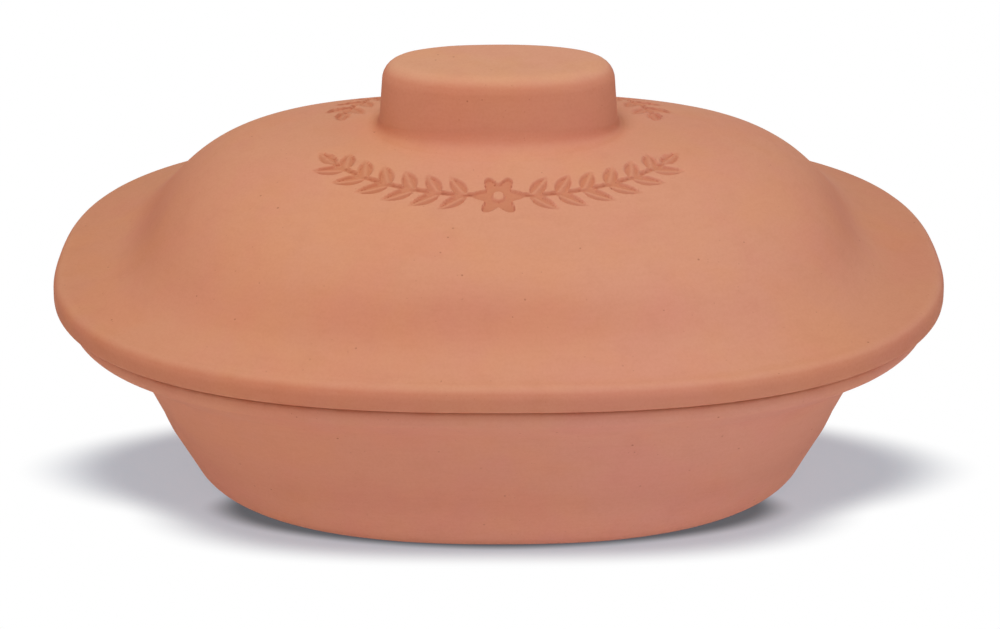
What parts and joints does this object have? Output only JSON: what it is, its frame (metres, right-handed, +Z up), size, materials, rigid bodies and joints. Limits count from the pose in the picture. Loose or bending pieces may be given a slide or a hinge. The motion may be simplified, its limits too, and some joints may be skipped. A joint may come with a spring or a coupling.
{
  "type": "clay roaster",
  "caption": "Oval unglazed clay roasting pot: a deep dish with a wide rim and a domed lid with a raised oval grip.",
  "frame": {"origin": "middle of the dish's base, on the surface that it stands on", "axes": "+X along the roaster's length, +Y across it, +Z up"},
  "size_m": [0.36, 0.264, 0.169],
  "materials": {
    "lid_clay": "unglazed fired clay, dry and matte, mottled orange and pink, with a fine sandy grain",
    "dish_clay": "unglazed fired clay, dry and matte, a little redder than the lid"
  },
  "bodies": {
    "dish": {"roasting_dish": "dish_clay"},
    "lid": {"lid": "lid_clay"}
  },
  "joints": [
    {"name": "lid_lift", "type": "slide", "parent": "dish", "child": "lid", "axis": [0, 0, 1], "range_m": [0, 0.15]}
  ]
}
